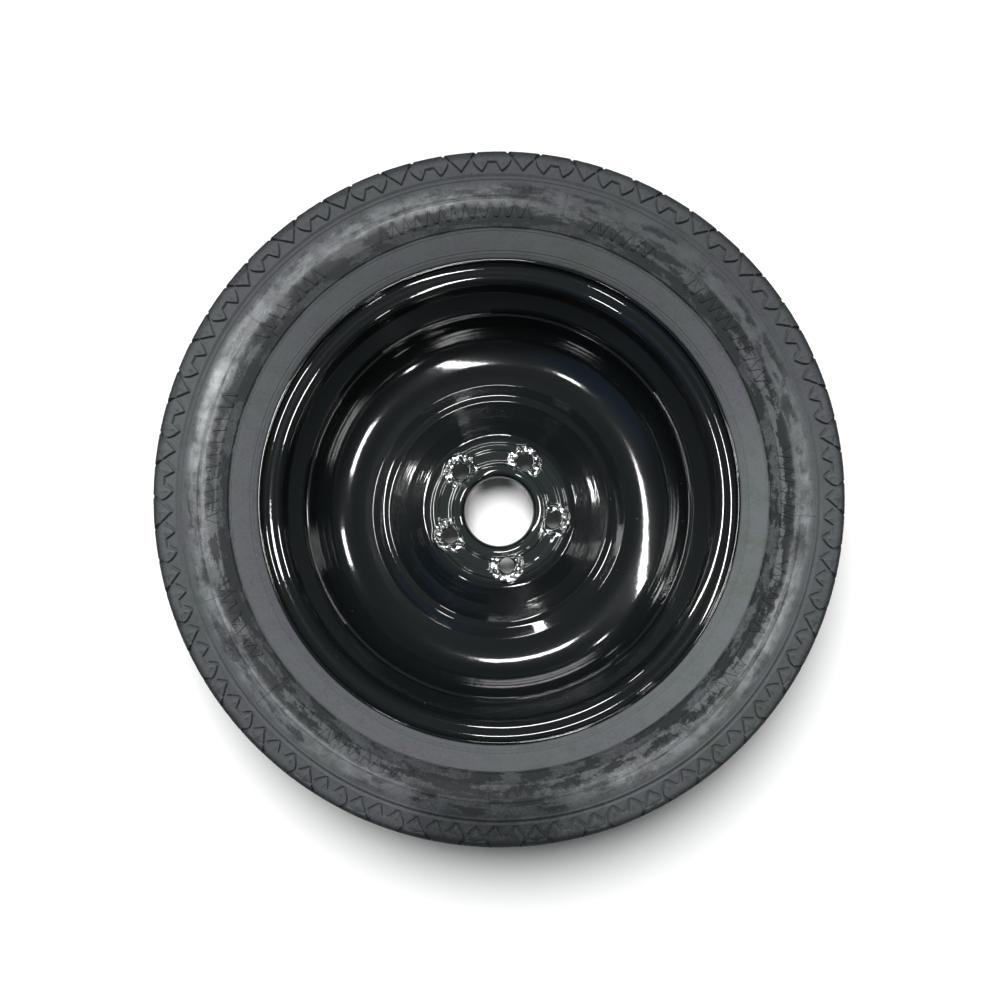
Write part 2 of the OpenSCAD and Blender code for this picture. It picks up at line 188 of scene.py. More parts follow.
class Wire:
    def __init__(self, tree, socket=None):
        self.tree, self.socket = tree, socket

    def node(self, kind, settings=None, inputs=None, out=0):
        made = self.tree.nodes.new(kind)
        for key, value in (settings or {}).items():
            setattr(made, key, value)
        feed(made, inputs or {})
        return Wire(self.tree, made.outputs[out])

    def parts(self, *names):
        return [Wire(self.tree, self.socket.node.outputs[name]) for name in names]

    def vector(self, **axes):
        return self.node("ShaderNodeCombineXYZ", inputs=axes)

    def axes(self):
        return self.node("ShaderNodeSeparateXYZ", inputs={"Vector": self}).parts("X", "Y", "Z")

    def math(self, operation, a, b=0.0):
        return self.node("ShaderNodeMath", {"operation": operation}, {0: a, 1: b})

    def __add__(self, other): return self.math("ADD", self, other)
    def __radd__(self, other): return self.math("ADD", other, self)
    def __sub__(self, other): return self.math("SUBTRACT", self, other)
    def __rsub__(self, other): return self.math("SUBTRACT", other, self)
    def __mul__(self, other): return self.math("MULTIPLY", self, other)
    def __rmul__(self, other): return self.math("MULTIPLY", other, self)
    def __pow__(self, other): return self.math("POWER", self, other)

    def ease(self, low, high, start=0.0, end=1.0):
        return self.node("ShaderNodeMapRange", {"interpolation_type": "SMOOTHSTEP"},
                         {"Value": self, "From Min": low, "From Max": high, "To Min": start, "To Max": end})

    def band(self, rise, fall):
        # 1 between the rise and the fall, which are each given by where they start and end
        return self.ease(*rise) * (1.0 - self.ease(*fall))

    def grain(self, vector, scale, detail=3.0, rough=0.55):
        return self.node("ShaderNodeTexNoise", {"noise_dimensions": "3D"},
                         {"Vector": vector, "Scale": scale, "Detail": detail, "Roughness": rough})

    def blend(self, factor, a, b):
        return self.node("ShaderNodeMix", {"data_type": "RGBA"},
                         {"Factor_Float": factor, "A_Color": a, "B_Color": b}, out=2)

    def bump(self, strength, depth, height):
        return self.node("ShaderNodeBump", inputs={"Strength": strength, "Distance": depth, "Height": height})


def newMaterial(name):
    material = bpy.data.materials.new(name)
    material.use_nodes = True
    shader = next(n for n in material.node_tree.nodes if n.type == "BSDF_PRINCIPLED")
    start = Wire(material.node_tree)
    return material, shader, start, start.node("ShaderNodeTexCoord", out="Object")


def polarParts(place):
    # place, distance from the axle and direction around it
    x, y, z = place.axes()
    return x, y, z, (x * x + y * y) ** 0.5, place.math("ARCTAN2", y, x)


rubberLook = {
    "dark": (0.013, 0.016, 0.017, 1), "grey": (0.080, 0.087, 0.092, 1), "violet": (0.090, 0.088, 0.103, 1),
    "green": (0.073, 0.086, 0.081, 1),
    "rough": 0.62, "roughVaries": 0.14, "ior": 1.5, "specular": 0.11, "coatRough": 0.34, "coatIor": 1.65,
    "bump": 0.65, "bumpDepth": 0.0009,
    # radii in metres at which the look changes, from the rim outwards
    "stepLine": 0.2452, "markIn": 0.2565, "bulgeIn": 0.2670, "bulgeOut": 0.2850, "edge": 0.3150,
    # noise sizes per metre, from broad clouds to dust
    "broad": 7.0, "middle": 48.0, "blots": 62.0, "fine": 420.0,
    # level of the dust, and what each noise adds to it
    "dust": 0.80, "broadDust": 0.35, "middleDust": 0.65, "fineDust": 0.8,
    # dust that each zone loses: everywhere, and where it was wiped
    "ringLoss": (0.40, 0.55), "markLoss": (0.08, 0.80), "edgeLoss": (0.62, 0.3), "bulgeLoss": 0.50,
    # then the lower left's darkening, the tone's level, the right side's lightening, and painted shade that
    # darkens the top
    "lowLoss": 0.50, "bright": 1.13, "sideBright": 0.46, "topPaintedShade": 0.34,
}


def tyreRubber(look, name):
    material, shader, start, place = newMaterial(name)
    x, y, _, radius, _ = polarParts(place)
    broad = start.grain(place, look["broad"], 3.0)
    middle = start.grain(place, look["middle"], 5.0, 0.68)
    fine = start.grain(place, look["fine"], 4.0, 0.7)
    blots = start.grain(start.vector(X=x * 0.45, Y=y * 0.45, Z=radius * 1.3), look["blots"], 5.0, 0.62)

    def zone(low, high, soft):
        return radius.band((low - soft, low + soft), (high - soft, high + soft))
    # dark wiped ring beside the step line, then blotches among the moulded marks
    ring = zone(look["stepLine"], look["markIn"], 0.0008)
    marks = zone(look["markIn"], look["bulgeIn"] + 0.002, 0.003)
    bulge = zone(look["bulgeIn"], look["bulgeOut"], 0.0045)
    edge = radius.ease(look["edge"] - 0.006, look["edge"] + 0.005)
    wiped = 1.0 - (blots + 0.10 * (fine - 0.5)).ease(0.455, 0.545)
    dust = (look["dust"] + look["middleDust"] * (middle - 0.5) + look["broadDust"] * (broad - 0.5)
            + look["fineDust"] * (fine - 0.5) - bulge * look["bulgeLoss"] * blots.ease(0.47, 0.60))
    for zoned, varied, (always, more) in ((ring, wiped, look["ringLoss"]), (marks, wiped, look["markLoss"]),
                                          (edge, middle, look["edgeLoss"])):
        dust = dust - zoned * (always + more * varied)
    # the wall is darker at the lower left, and its inner part lighter on the right side
    low = (0.0 - y).ease(0.235, 0.285) * radius.ease(0.252, 0.262) * (1.0 - x.ease(0.02, 0.14))
    dust = (dust - look["lowLoss"] * low * (1.0 - x.ease(-0.10, -0.05, 1.0, 0.0))).ease(0.0, 1.0)
    side = (x * 0.94 - y * 0.34).ease(0.10, 0.30)
    tint = start.blend(broad.ease(0.40, 0.62), look["violet"], look["green"])
    tint = start.blend(middle.ease(0.38, 0.60), tint, look["grey"])
    # the bulge's painted sheen and its gloss are left out at the upper right and at the bottom
    sheenAndGlossGap = (x * 0.64 + y * 0.77).ease(0.17, 0.26) + (0.0 - y).ease(0.24, 0.275)
    bulge = bulge * (1.0 - 0.75 * sheenAndGlossGap)
    # tone scale; the bulge term below is a painted sheen, a painted highlight along the bulge's band
    bright = (look["bright"] + look["sideBright"] * side * (1.0 - radius.ease(0.262, 0.272))
              # painted shade: the last term darkens the top of the tyre
              + bulge * (0.45 + 2.6 * (middle - 0.5)) - look["topPaintedShade"] * y.ease(0.02, 0.25))
    tint = start.node("ShaderNodeVectorMath", {"operation": "SCALE"}, {"Vector": tint, "Scale": bright})
    shine = bulge * (1.8 * middle - 0.2) * 0.55 + marks * 0.16 + edge * 0.05
    feed(shader, {
        "Base Color": start.blend(dust, look["dark"], tint), "Coat Weight": shine.ease(0.0, 1.1),
        "Roughness": look["rough"] + look["roughVaries"] * (middle - 0.5),
        "Normal": start.bump(look["bump"], look["bumpDepth"], fine * 0.35 + middle * 1.3 + blots * 0.7),
        "IOR": look["ior"], "Specular IOR Level": look["specular"],
        "Coat Roughness": look["coatRough"], "Coat IOR": look["coatIor"]})
    return material


paintLook = {
    "black": (0.0048, 0.0066, 0.0072, 1), "speck": (0.30, 0.31, 0.31, 1), "bare": (0.80, 0.82, 0.82, 1),
    "padTone": (0.016, 0.021, 0.020, 1), "speckSize": 150.0, "speckKeep": (0.60, 0.66),
    "rough": 0.045, "smearRough": 0.03, "speckRough": 0.3, "coneRough": 0.06, "bowlRough": 0.04,
    "chipRough": 0.25, "ior": 1.6, "specular": 0.45, "haze": 0.08, "hazeRough": 0.38, "hazeIor": 1.5,
    # ripples of the paint, and marks drawn around the axle by the press
    "peelScale": 190.0, "peelDepth": 0.00004, "waveScale": 38.0, "waveHeight": 2.4, "drawnHeight": 9.0,
    # bolt circle, direction of the first bolt, and the coined ring around each bolt hole
    "boltR": 0.054, "firstBolt": math.radians(62.2), "boltStep": math.radians(36.0),
    "coinRise": (0.0090, 0.0102), "coinFall": (0.0146, 0.0176), "coinUp": (-0.0272, -0.0262),
    "chipScale": 250.0, "chipKeep": (0.575, 0.610),
    # radii in metres where the pad, cone, bowl and drawn marks begin and end
    "padOut": (0.066, 0.072), "padUp": (-0.0300, -0.0280),
    "drawnIn": (0.070, 0.078), "drawnOut": (0.098, 0.112),
    "coneIn": (0.074, 0.080), "coneOut": (0.104, 0.110), "bowlIn": (0.118, 0.130), "bowlOut": (0.176, 0.183),
}


def glossPaint(look, name):
    material, shader, start, place = newMaterial(name)
    _, _, z, radius, angle = polarParts(place)
    cells = start.node("ShaderNodeTexVoronoi", {"feature": "F1"},
                       {"Vector": place, "Scale": look["speckSize"]})
    specks = (1.0 - cells.ease(0.035, 0.075)) * start.grain(place, 31.0, 2.0).ease(*look["speckKeep"])
    # distance from the nearest bolt, by folding all five onto one
    fold = start.math("PINGPONG", angle - look["firstBolt"] + math.tau, look["boltStep"])
    reach = radius * radius + look["boltR"] ** 2 - 2.0 * look["boltR"] * radius * start.math("COSINE", fold)
    near = start.math("MAXIMUM", reach, 0.0) ** 0.5
    coined = near.band(look["coinRise"], look["coinFall"]) * z.ease(*look["coinUp"])
    chips = start.grain(place, look["chipScale"], 2.0, 0.5).ease(*look["chipKeep"]) * coined
    pad = (1.0 - radius.ease(*look["padOut"])) * z.ease(*look["padUp"])
    colour = start.blend(pad, look["black"], look["padTone"])
    colour = start.blend(specks * 0.8, colour, look["speck"])
    cone = radius.band(look["coneIn"], look["coneOut"])
    bowl = radius.band(look["bowlIn"], look["bowlOut"])
    smear = start.grain(place, 14.0, 4.0).ease(0.45, 0.8)
    rough = look["rough"]
    for part, mask in (("smear", smear), ("speck", specks), ("cone", cone), ("bowl", bowl), ("chip", chips)):
        rough = rough + look[part + "Rough"] * mask
    drawn = start.vector(X=angle * 1.7, Y=radius * 210.0, Z=z * 40.0)
    marks = start.grain(drawn, 1.0, 3.0, 0.6) * radius.band(look["drawnIn"], look["drawnOut"])
    waves = (start.grain(place, look["peelScale"], 2.0, 0.5)
             + look["waveHeight"] * start.grain(place, look["waveScale"], 1.0))
    feed(shader, {
        "Base Color": start.blend(chips, colour, look["bare"]), "Metallic": chips, "Roughness": rough,
        "Normal": start.bump(1.0, look["peelDepth"], waves + marks * look["drawnHeight"]),
        "IOR": look["ior"], "Specular IOR Level": look["specular"], "Coat Weight": look["haze"],
        "Coat Roughness": look["hazeRough"], "Coat IOR": look["hazeIor"]})
    return material


def plainFinish(name, dark, light, rough, metallic=0.0, scale=400.0):
    material, shader, start, place = newMaterial(name)
    grain = start.grain(place, scale, 4.0, 0.6)
    feed(shader, {"Base Color": start.blend(grain.ease(0.3, 0.7), dark, light), "Metallic": metallic,
                  "Roughness": rough + 0.15 * (grain - 0.5), "Normal": start.bump(0.4, 0.00002, grain)})
    return material


dustAndPaintedLightRubber = tyreRubber(rubberLook, "dustAndPaintedLightRubber")
blackPaint = glossPaint(paintLook, "blackPaint")
valveRubber = plainFinish("valveRubber", (0.012, 0.012, 0.013, 1), (0.03, 0.03, 0.032, 1), 0.5)
brass = plainFinish("brass", (0.62, 0.43, 0.17, 1), (0.80, 0.62, 0.30, 1), 0.27, 1.0, 900.0)
sealWhite = plainFinish("sealWhite", (0.72, 0.72, 0.70, 1), (0.84, 0.84, 0.82, 1), 0.42)
springWire = plainFinish("springWire", (0.45, 0.45, 0.46, 1), (0.65, 0.65, 0.66, 1), 0.25, 1.0, 1500.0)
capPlastic = plainFinish("capPlastic", (0.010, 0.010, 0.011, 1), (0.024, 0.024, 0.026, 1), 0.38)
print("materials made")

# Geometry Nodes: small trees that are run on an empty mesh

def newTree(name, **sockets):
    tree = bpy.data.node_groups.new(name, "GeometryNodeTree")
    for key, kind in {"Geometry": "Geometry", **sockets}.items():
        tree.interface.new_socket(key, in_out="INPUT", socket_type="NodeSocket" + kind)
    tree.interface.new_socket("Geometry", in_out="OUTPUT", socket_type="NodeSocketGeometry")
    start = Wire(tree)
    return start, start.node("NodeGroupInput").parts(*sockets)


def closeTree(start, material, settings):
    # a copy on each point, all joined to one smooth mesh with the material
    last = start.node("GeometryNodeInstanceOnPoints", inputs=settings)
    last = start.node("GeometryNodeRealizeInstances", inputs={0: last})
    last = start.node("GeometryNodeSetShadeSmooth", inputs={"Geometry": last})
    last = start.node("GeometryNodeSetMaterial", inputs={"Geometry": last, "Material": material})
    result = start.tree.nodes.new("NodeGroupOutput")
    start.tree.links.new(last.socket, result.inputs[0])
    return start.tree


def ringTree(material):
    # copies of a piece set around the axle
    start, (piece, count, first, step) = newTree(
        "copiesAroundAxle", Piece="Object", Count="Int", Start="Float", Step="Float")
    turn = start.node("ShaderNodeMath", {"operation": "MULTIPLY_ADD"},
                      {0: start.node("GeometryNodeInputIndex"), 1: step, 2: first})
    return closeTree(start, material, {
        "Points": start.node("GeometryNodePoints", inputs={"Count": count}),
        "Instance": start.node("GeometryNodeObjectInfo", inputs={"Object": piece}, out="Geometry"),
        "Rotation": start.vector(Z=turn)})


def plainMesh(piece):
    ready = piece.evaluated_get(bpy.context.evaluated_depsgraph_get())
    return bpy.data.meshes.new_from_object(ready)


def grow(tree, values):
    seat = addObject("seed", bpy.data.meshes.new("seed"))
    modifier = seat.modifiers.new("grow", "NODES")
    modifier.node_group = tree
    for item in tree.interface.items_tree:
        if item.item_type == "SOCKET" and item.in_out == "INPUT" and item.name in values:
            modifier[item.identifier] = values[item.name]
    mesh = plainMesh(seat)
    bpy.data.objects.remove(seat)
    return mesh


def copiesAround(tree, mesh, count, start, step):
    # start and step in degrees
    piece = addObject("copied", mesh)
    grown = grow(tree, {"Piece": piece, "Count": count,
                        "Start": math.radians(start), "Step": math.radians(step)})
    bpy.data.objects.remove(piece)
    return grown


# Rim: one rolled strip

rimShape = {
    "seatR": 202.8, "halfGap": 50.8, "flangeH": 17.3, "curlR": 9.5, "lipOut": 10.2, "heelR": 6.5,
    "sheet": 2.6, "slope": math.tan(math.radians(5)), "seatUp": 20.8, "seatDown": 19.0,
    "wellR": 184.8, "wellUp": 16.0, "wellDown": 18.0, "wellBend": 5.0, "edgeRound": 1.1, "columns": 360,
    "valveTurn": 66.0, "valveHole": 5.75, "sharp": 50.0,
}


def rimPath(s):
    half = s["sheet"] / 2
    lip = s["seatR"] + s["flangeH"] - half

    def side(seat, well):
        return [(lip, s["halfGap"] + s["lipOut"], 0.0),
                (lip, s["halfGap"] + half, s["curlR"] - half),
                (s["seatR"] - half, s["halfGap"] + half, s["heelR"] + half),
                (s["seatR"] - half - seat * s["slope"], s["halfGap"] - seat, s["wellBend"]),
                (s["wellR"] + half, well, s["wellBend"])]
    lower = [(r, -z, b) for r, z, b in reversed(side(s["seatDown"], s["wellDown"]))]
    return side(s["seatUp"], s["wellUp"]) + lower


def makeRim(s):
    path = rimPath(s)
    half = s["sheet"] / 2
    left, right = offsetPath(path, half)[1:-1], offsetPath(path, -half)[1:-1]
    outline = (left + endCap(path[-1], path[-2], s["sheet"], s["edgeRound"])
               + right[::-1] + endCap(path[0], path[1], s["sheet"], s["edgeRound"]))
    bm = bmesh.new()
    addLathe(bm, outline, s["columns"], True)
    cleanUp(bm)
    rim = finishMesh(bm, "rimShell", s["sharp"], blackPaint)
    # valve hole through the slope on the street side
    low = (s["wellR"] + half, -s["wellDown"])
    high = (s["seatR"] - half - s["seatDown"] * s["slope"], s["seatDown"] - s["halfGap"])
    spot = ((low[0] + high[0]) / 2, (low[1] + high[1]) / 2)
    ux, uz = unit(high[0] - low[0], high[1] - low[1])
    turn = math.radians(s["valveTurn"])
    axis = Vector((*polar(uz, turn), -ux))
    cutter = bmesh.new()
    bmesh.ops.create_cone(cutter, cap_ends=True, segments=48, radius1=s["valveHole"] * mm,
                          radius2=s["valveHole"] * mm, depth=0.02)
    tool = addObject("drill", meshFromBuild(cutter, "drill"))
    tool.rotation_mode = "QUATERNION"
    tool.rotation_quaternion = axis.to_track_quat("Z", "Y")
    tool.location = (*polar(spot[0] * mm, turn), spot[1] * mm)
    cut = rim.modifiers.new("valveHole", "BOOLEAN")
    cut.object, cut.operation, cut.solver = tool, "DIFFERENCE", "EXACT"
    bpy.context.view_layer.update()
    rim.data = plainMesh(rim)
    rim.modifiers.clear()
    rim.data.set_sharp_from_angle(angle=math.radians(s["sharp"]))
    bpy.data.objects.remove(tool)
    return rim


# Disc: one pressing with a lathed bowl and a coined hub pad

discShape = {
    "sheet": 3.5, "edgeZ": 9.0, "bowlR": 47.5, "bowlZ": 47.0, "floorR": 126.3, "stepR": 115.5, "stepW": 6.0,
    "stepRise": 3.5, "plateZ": 27.0, "plateR": 74.5, "boreR": 33.55, "lipRoll": 8.8, "boreLen": 7.0,
    "kneeDrop": 0.9, "kneeBend": 12.0, "stepBend": 4.0, "plateBend": 5.0, "edgeRound": 0.6, "gap": 0.1,
    "columns": 360, "hubOut": 72.8, "hubIn": 42.8,
}
padShape = {
    "boltR": 54.0, "bolts": 5, "firstBolt": 62.2, "holeR": 7.5, "coneR": 11.5, "coneH": 2.8,
    "roundR": 67.4, "lobeR": 17.9, "innerR": 44.6, "rise": 1.6, "bossR": 14.4, "bossRise": 0.4,
    "pocketIn": 47.4, "pocketOut": 60.8, "pocketDepth": 1.5, "edge": 1.5, "holeRound": 1.7,
    "coinIn": 9.6, "coinOut": 16.8, "coinDepth": 1.25, "coinSize": 3.4, "coinPoints": 620,
    # outlines that the sheet's triangles follow: beside the pad's edges, the holes and the bosses
    "levels": (-3.2, -2.6, -2.2, -1.8, -1.4, -1.0, -0.6, -0.2, 0.15, 0.5),
    "holeLoops": (0.0, 0.08, 0.25, 0.55, 0.95, 1.35, 1.7, 2.1), "bossLoops": (-1.1, -0.6, 0.0, 0.6, 1.1),
    "underR": 58.0, "edgeSides": 240, "innerSides": 200, "pocketSides": 90, "bossSides": 80,
    "holeSides": 48, "underSides": 120,
}


def softMin(a, b, soft):
    h = max(soft - abs(a - b), 0.0) / soft
    return min(a, b) - h * h * soft / 4


def stepUp(value):
    t = min(max(value, 0.0), 1.0)
    return t * t * (3 - 2 * t)


def boltPlaces(p):
    return [polar(p["boltR"], math.radians(p["firstBolt"] + 360 * k / p["bolts"])) for k in range(p["bolts"])]


def padEdge(p, bolts, x, y):
    # negative inside the pad's lobed outline
    d = math.hypot(x, y) - p["roundR"]
    for b in bolts:
        d = softMin(d, math.dist((x, y), b) - p["lobeR"], 2.5)
    return d


def pocketEdge(p, bolts, x, y):
    # negative inside the relief pockets between the bolts
    r = math.hypot(x, y)
    d = -softMin(-(r - p["pocketOut"]), -(p["pocketIn"] - r), 2.0)
    for b in bolts:
        d = -softMin(-d, math.dist((x, y), b) - p["bossR"] - 0.4, 2.5)
    return d


def hubHeight(p, bolts, x, y):
    def inside(distance):
        # 0 on the outline, 1 from two edge widths further in
        return stepUp((0.3 - distance) / (2 * p["edge"]))
    onPad = inside(padEdge(p, bolts, x, y)) * inside(p["innerR"] - math.hypot(x, y))
    z = p["rise"] * onPad - p["pocketDepth"] * inside(pocketEdge(p, bolts, x, y))
    near = min(math.dist((x, y), b) for b in bolts)
    z += p["bossRise"] * onPad * inside(near - p["bossR"])
    coined = stepUp((near - p["coinIn"]) / 1.2) * stepUp((p["coinOut"] - near) / 2.5)
    grain = noise.noise(Vector((x / p["coinSize"], y / p["coinSize"], 4.2)))
    z += p["coinDepth"] * coined * onPad * (grain + 0.25 * noise.noise(Vector((x * 0.8, y * 0.8, 9.1))))
    g = near - p["holeR"]
    if g < p["holeRound"]:
        g = max(g, 0.0)
        z -= p["holeRound"] - math.sqrt(max(p["holeRound"] ** 2 - (p["holeRound"] - g) ** 2, 0.0))
    return z


def levelLoop(field, centre, level, count, reach):
    # closed line where the field has that level, found along rays from the centre
    loop = []
    for i in range(count):
        a = math.tau * i / count
        low, high = 0.0, reach
        for _ in range(26):
            t = (low + high) / 2
            if field(*polar(t, a, centre)) < level:
                low = t
            else:
                high = t
        loop.append(polar(low, a, centre))
    return loop


def circle(radius, count, centre=(0.0, 0.0)):
    return [polar(radius, math.tau * i / count, centre) for i in range(count)]


def turnedLoop(loop, angle):
    c, s = math.cos(angle), math.sin(angle)
    return [(x * c - y * s, x * s + y * c) for x, y in loop]


def fillSheet(bm, loops, points, height, keep):
    # triangles between the loops, lifted to the height
    verts, edges = [], []
    for loop in loops:
        first = len(verts)
        verts += [Vector(p) for p in loop]
        edges += [(first + i, first + (i + 1) % len(loop)) for i in range(len(loop))]
    verts += [Vector(p) for p in points]
    flat, _, faces, _, _, _ = delaunay_2d_cdt(verts, edges, [], 0, 1e-4)
    made = {}
    for face in faces:
        mx = sum(flat[i].x for i in face) / len(face)
        my = sum(flat[i].y for i in face) / len(face)
        if not keep(mx, my):
            continue
        for i in face:
            if i not in made:
                made[i] = bm.verts.new((flat[i].x * mm, flat[i].y * mm, height(flat[i].x, flat[i].y) * mm))
        bm.faces.new([made[i] for i in face])


def discLines(s):
    mid = s["sheet"] / 2
    edgeR = rimShape["wellR"] - s["gap"] - mid
    floor = -s["bowlZ"] - mid
    step = floor + s["stepRise"]
    plate = -s["plateZ"] - mid
    kneeR = (s["stepR"] - s["stepW"] + s["plateR"]) / 2
    outer = [(edgeR, s["edgeZ"], 0.0), (edgeR, floor, s["bowlR"] + mid), (s["floorR"], floor, s["stepBend"]),
             (s["stepR"], step, s["stepBend"]), (s["stepR"] - s["stepW"], step, s["plateBend"]),
             (kneeR, (step + plate) / 2 - s["kneeDrop"], s["kneeBend"]),
             (s["plateR"], plate, s["plateBend"]), (s["hubOut"], plate, 0.0)]
    boreMid = s["boreR"] + mid
    inner = [(s["hubIn"], plate, 0.0), (boreMid, plate, s["lipRoll"] - mid),
             (boreMid, -s["plateZ"] - s["lipRoll"] - s["boreLen"], 0.0)]
    return outer, inner


def makeDisc(s, p):
    random.seed(11)
    mid = s["sheet"] / 2
    outer, inner = discLines(s)
    top, under = offsetPath(outer, -mid), offsetPath(outer, mid)
    bm = bmesh.new()
    edge = endCap(outer[0], outer[1], s["sheet"], s["edgeRound"])
    addLathe(bm, under[1:][::-1] + edge[::-1] + top[1:], s["columns"], False)
    top, under = offsetPath(inner, -mid), offsetPath(inner, mid)
    edge = endCap(inner[-1], inner[-2], s["sheet"], s["edgeRound"])
    addLathe(bm, top[:-1] + edge[::-1] + under[:-1][::-1], s["columns"], False)
    bolts = boltPlaces(p)

    def between(holeR):
        # the ring between hubIn and hubOut, without the bolt holes
        return lambda x, y: (s["hubIn"] - 0.05 < math.hypot(x, y) < s["hubOut"]
                             and all(math.dist((x, y), b) > holeR - 0.02 for b in bolts))
    rims = [circle(s["hubOut"], s["columns"]), circle(s["hubIn"], s["columns"])]
    loops = rims + [levelLoop(lambda x, y: padEdge(p, bolts, x, y), (0.0, 0.0), v, p["edgeSides"], 90.0)
                    for v in p["levels"]]
    loops += [circle(p["innerR"] - v, p["innerSides"]) for v in p["levels"]]
    step = math.tau / p["bolts"]
    centre = polar(p["boltR"], math.radians(p["firstBolt"]) + step / 2)
    for v in p["levels"]:
        loop = levelLoop(lambda x, y: pocketEdge(p, bolts, x, y), centre, v, p["pocketSides"], 40.0)
        loops += [turnedLoop(loop, step * k) for k in range(p["bolts"])]
    points = []
    for b in bolts:
        loops += [circle(p["holeR"] + g, p["holeSides"], b) for g in p["holeLoops"]]
        loops += [circle(p["bossR"] + v, p["bossSides"], b) for v in p["bossLoops"]]
        for _ in range(p["coinPoints"]):
            r = math.sqrt(random.uniform(p["coinIn"] ** 2, p["coinOut"] ** 2))
            points.append(polar(r, random.uniform(0.0, math.tau), b))
    fillSheet(bm, loops, points, lambda x, y: hubHeight(p, bolts, x, y) - s["plateZ"], between(p["holeR"]))
    street = -s["plateZ"] - s["sheet"]
    loops = rims + [circle(p["underR"], p["underSides"])]
    for b in bolts:
        loops += [circle(p["coneR"], p["holeSides"], b), circle(p["coneR"] + 0.5, p["holeSides"], b)]
    fillSheet(bm, loops, [], lambda x, y: street, between(p["coneR"]))
    # walls of the bolt holes with their cone seats
    brim = p["rise"] + p["bossRise"] - s["plateZ"] - p["holeRound"]
    wall = [(p["holeR"], brim), (p["holeR"], brim - 0.4), (p["holeR"], street + p["coneH"] + 0.3),
            (p["holeR"], street + p["coneH"]), (p["coneR"], street)]
    for b in bolts:
        rings = [[bm.verts.new((x * mm, y * mm, z * mm)) for x, y in circle(r, p["holeSides"], b)]
                 for r, z in wall]
        for low, high in zip(rings, rings[1:]):
            bridge(bm, low, high)
    cleanUp(bm)
    return finishMesh(bm, "pressedDisc", 48.0, blackPaint)


# Weld seams: overlapping ripples along an arc

weldShape = {
    "count": 4, "arc": 31.0, "middle": 21.0, "leg": 3.2, "pitch": 1.55, "ripple": (2.35, 1.5, 2.1), "seed": 5,
    "smallest": 0.8, "largest": 1.06, "segments": 14, "rings": 9, "inward": 0.42, "upward": 0.36,
}


def weldTree(material, w):
    start, (radius, first, sweep, height, count, seed) = newTree(
        "weldRipples", Radius="Float", Start="Float", Sweep="Float", Height="Float", Count="Int", Seed="Int")
    arc = start.node("GeometryNodeCurveArc", {"mode": "RADIUS"}, {
        "Radius": radius, "Start Angle": first, "Sweep Angle": sweep, "Resolution": 64})
    raised = start.node("GeometryNodeSetPosition", inputs={
        "Geometry": arc, "Offset": start.vector(Z=height)})
    ball = start.node("GeometryNodeMeshUVSphere", inputs={
        "Segments": w["segments"], "Rings": w["rings"], "Radius": mm})
    x, y, _ = start.node("GeometryNodeInputPosition").axes()
    return closeTree(start, material, {
        "Points": start.node("GeometryNodeCurveToPoints", inputs={"Curve": raised, "Count": count}),
        "Instance": start.node("GeometryNodeTransform", inputs={"Geometry": ball, "Scale": w["ripple"]}),
        "Rotation": start.vector(Z=start.math("ARCTAN2", y, x)),
        "Scale": start.node("FunctionNodeRandomValue", {"data_type": "FLOAT"},
                            {"Min": w["smallest"], "Max": w["largest"], "Seed": seed}, out=1)})


def makeWelds(w):
    tree = weldTree(blackPaint, w)
    radius = rimShape["wellR"] - w["leg"] * w["inward"]
    height = discShape["edgeZ"] + w["leg"] * w["upward"]
    sweep = math.radians(w["arc"])
    beads = []
    for k in range(w["count"]):
        mesh = grow(tree, {
            "Radius": radius * mm, "Start": math.radians(w["middle"] + 360 * k / w["count"] - w["arc"] / 2),
            "Sweep": sweep, "Height": height * mm, "Count": round(sweep * radius / w["pitch"]),
            "Seed": w["seed"] + k})
        beads.append(addObject(f"weldBead{k + 1}", mesh))
    return beads


# Tyre: lathed walls and crown, with one tread pitch repeated around each shoulder

tyreShape = {
    "outerR": 324.7, "halfWidth": 67.2, "wallTop": 66.1, "widestR": 262.0, "crownR": 200.0,
    "treadWidth": 92.0, "shoulderBand": 26.0, "footDrop": 7.6, "cornerRound": 7.0, "cornerReach": 5.0,
    "wall": 6.5, "crownWall": 13.0, "beadWidth": 16.0, "gap": 0.2, "rimLeave": 14.0, "overLip": (1.6, 1.4),
    "pitches": 34, "firstPitch": 1.2, "cellColumns": 6, "cellStart": 2.2, "ringPitch": 2.6,
    "ribZ": 25.0, "ribWidth": 5.0, "ribDepth": 4.0,
    # radius, width and height of the fine rings on the wall, and of the groove at the shoulder's foot
    "rings": ((290.2, 1.5, 0.85), (272.5, 0.9, 0.25), (245.6, 1.2, -0.95), (243.9, 0.9, 0.35),
              (227.4, 0.8, 0.35), (224.6, 0.8, 0.3), (293.3, 2.6, -1.9)),
}
treadShape = {
    "foot": 4.5, "over": 38.0, "spread": 2.62, "edge": 24.0, "joinUp": 16.0,
    "valley": 3.62, "plateauUp": 14.0, "plateauStart": 4.75,
    "halfTop": 1.8, "halfFloor": 0.95, "depth": 2.7,
    "dimple": (14.0, 16.5), "dimpleTop": 1.7, "dimpleFloor": 0.5, "dimpleRise": 0.9, "meanR": 305.0,
}


def tyreLines(s):
    crownEnd = math.degrees(math.asin(s["treadWidth"] / 2 / s["crownR"]))
    centre = (s["outerR"] - s["crownR"], 0.0)
    corner = arcPoints(centre, s["crownR"], crownEnd, crownEnd, 1)[0]
    foot = (corner[0] - s["shoulderBand"], s["halfWidth"] - s["footDrop"])
    top = polar(s["cornerReach"], math.radians(90 + crownEnd), corner)
    ribEdge = s["ribZ"] + s["ribWidth"] / 2
    low = math.degrees(math.asin(ribEdge / s["crownR"]))
    crown = arcPoints(centre, s["crownR"], low, crownEnd, 4)
    half = arcPoints(centre, s["crownR"], crownEnd / 2, crownEnd / 2, 1)[0]
    bend = offsetPath([(*foot, 0.0), (*top, s["cornerRound"]), (*half, 0.0)], 0.0, 8.0)[1:-1]
    return foot, bend + crown[::-1][1:], crown


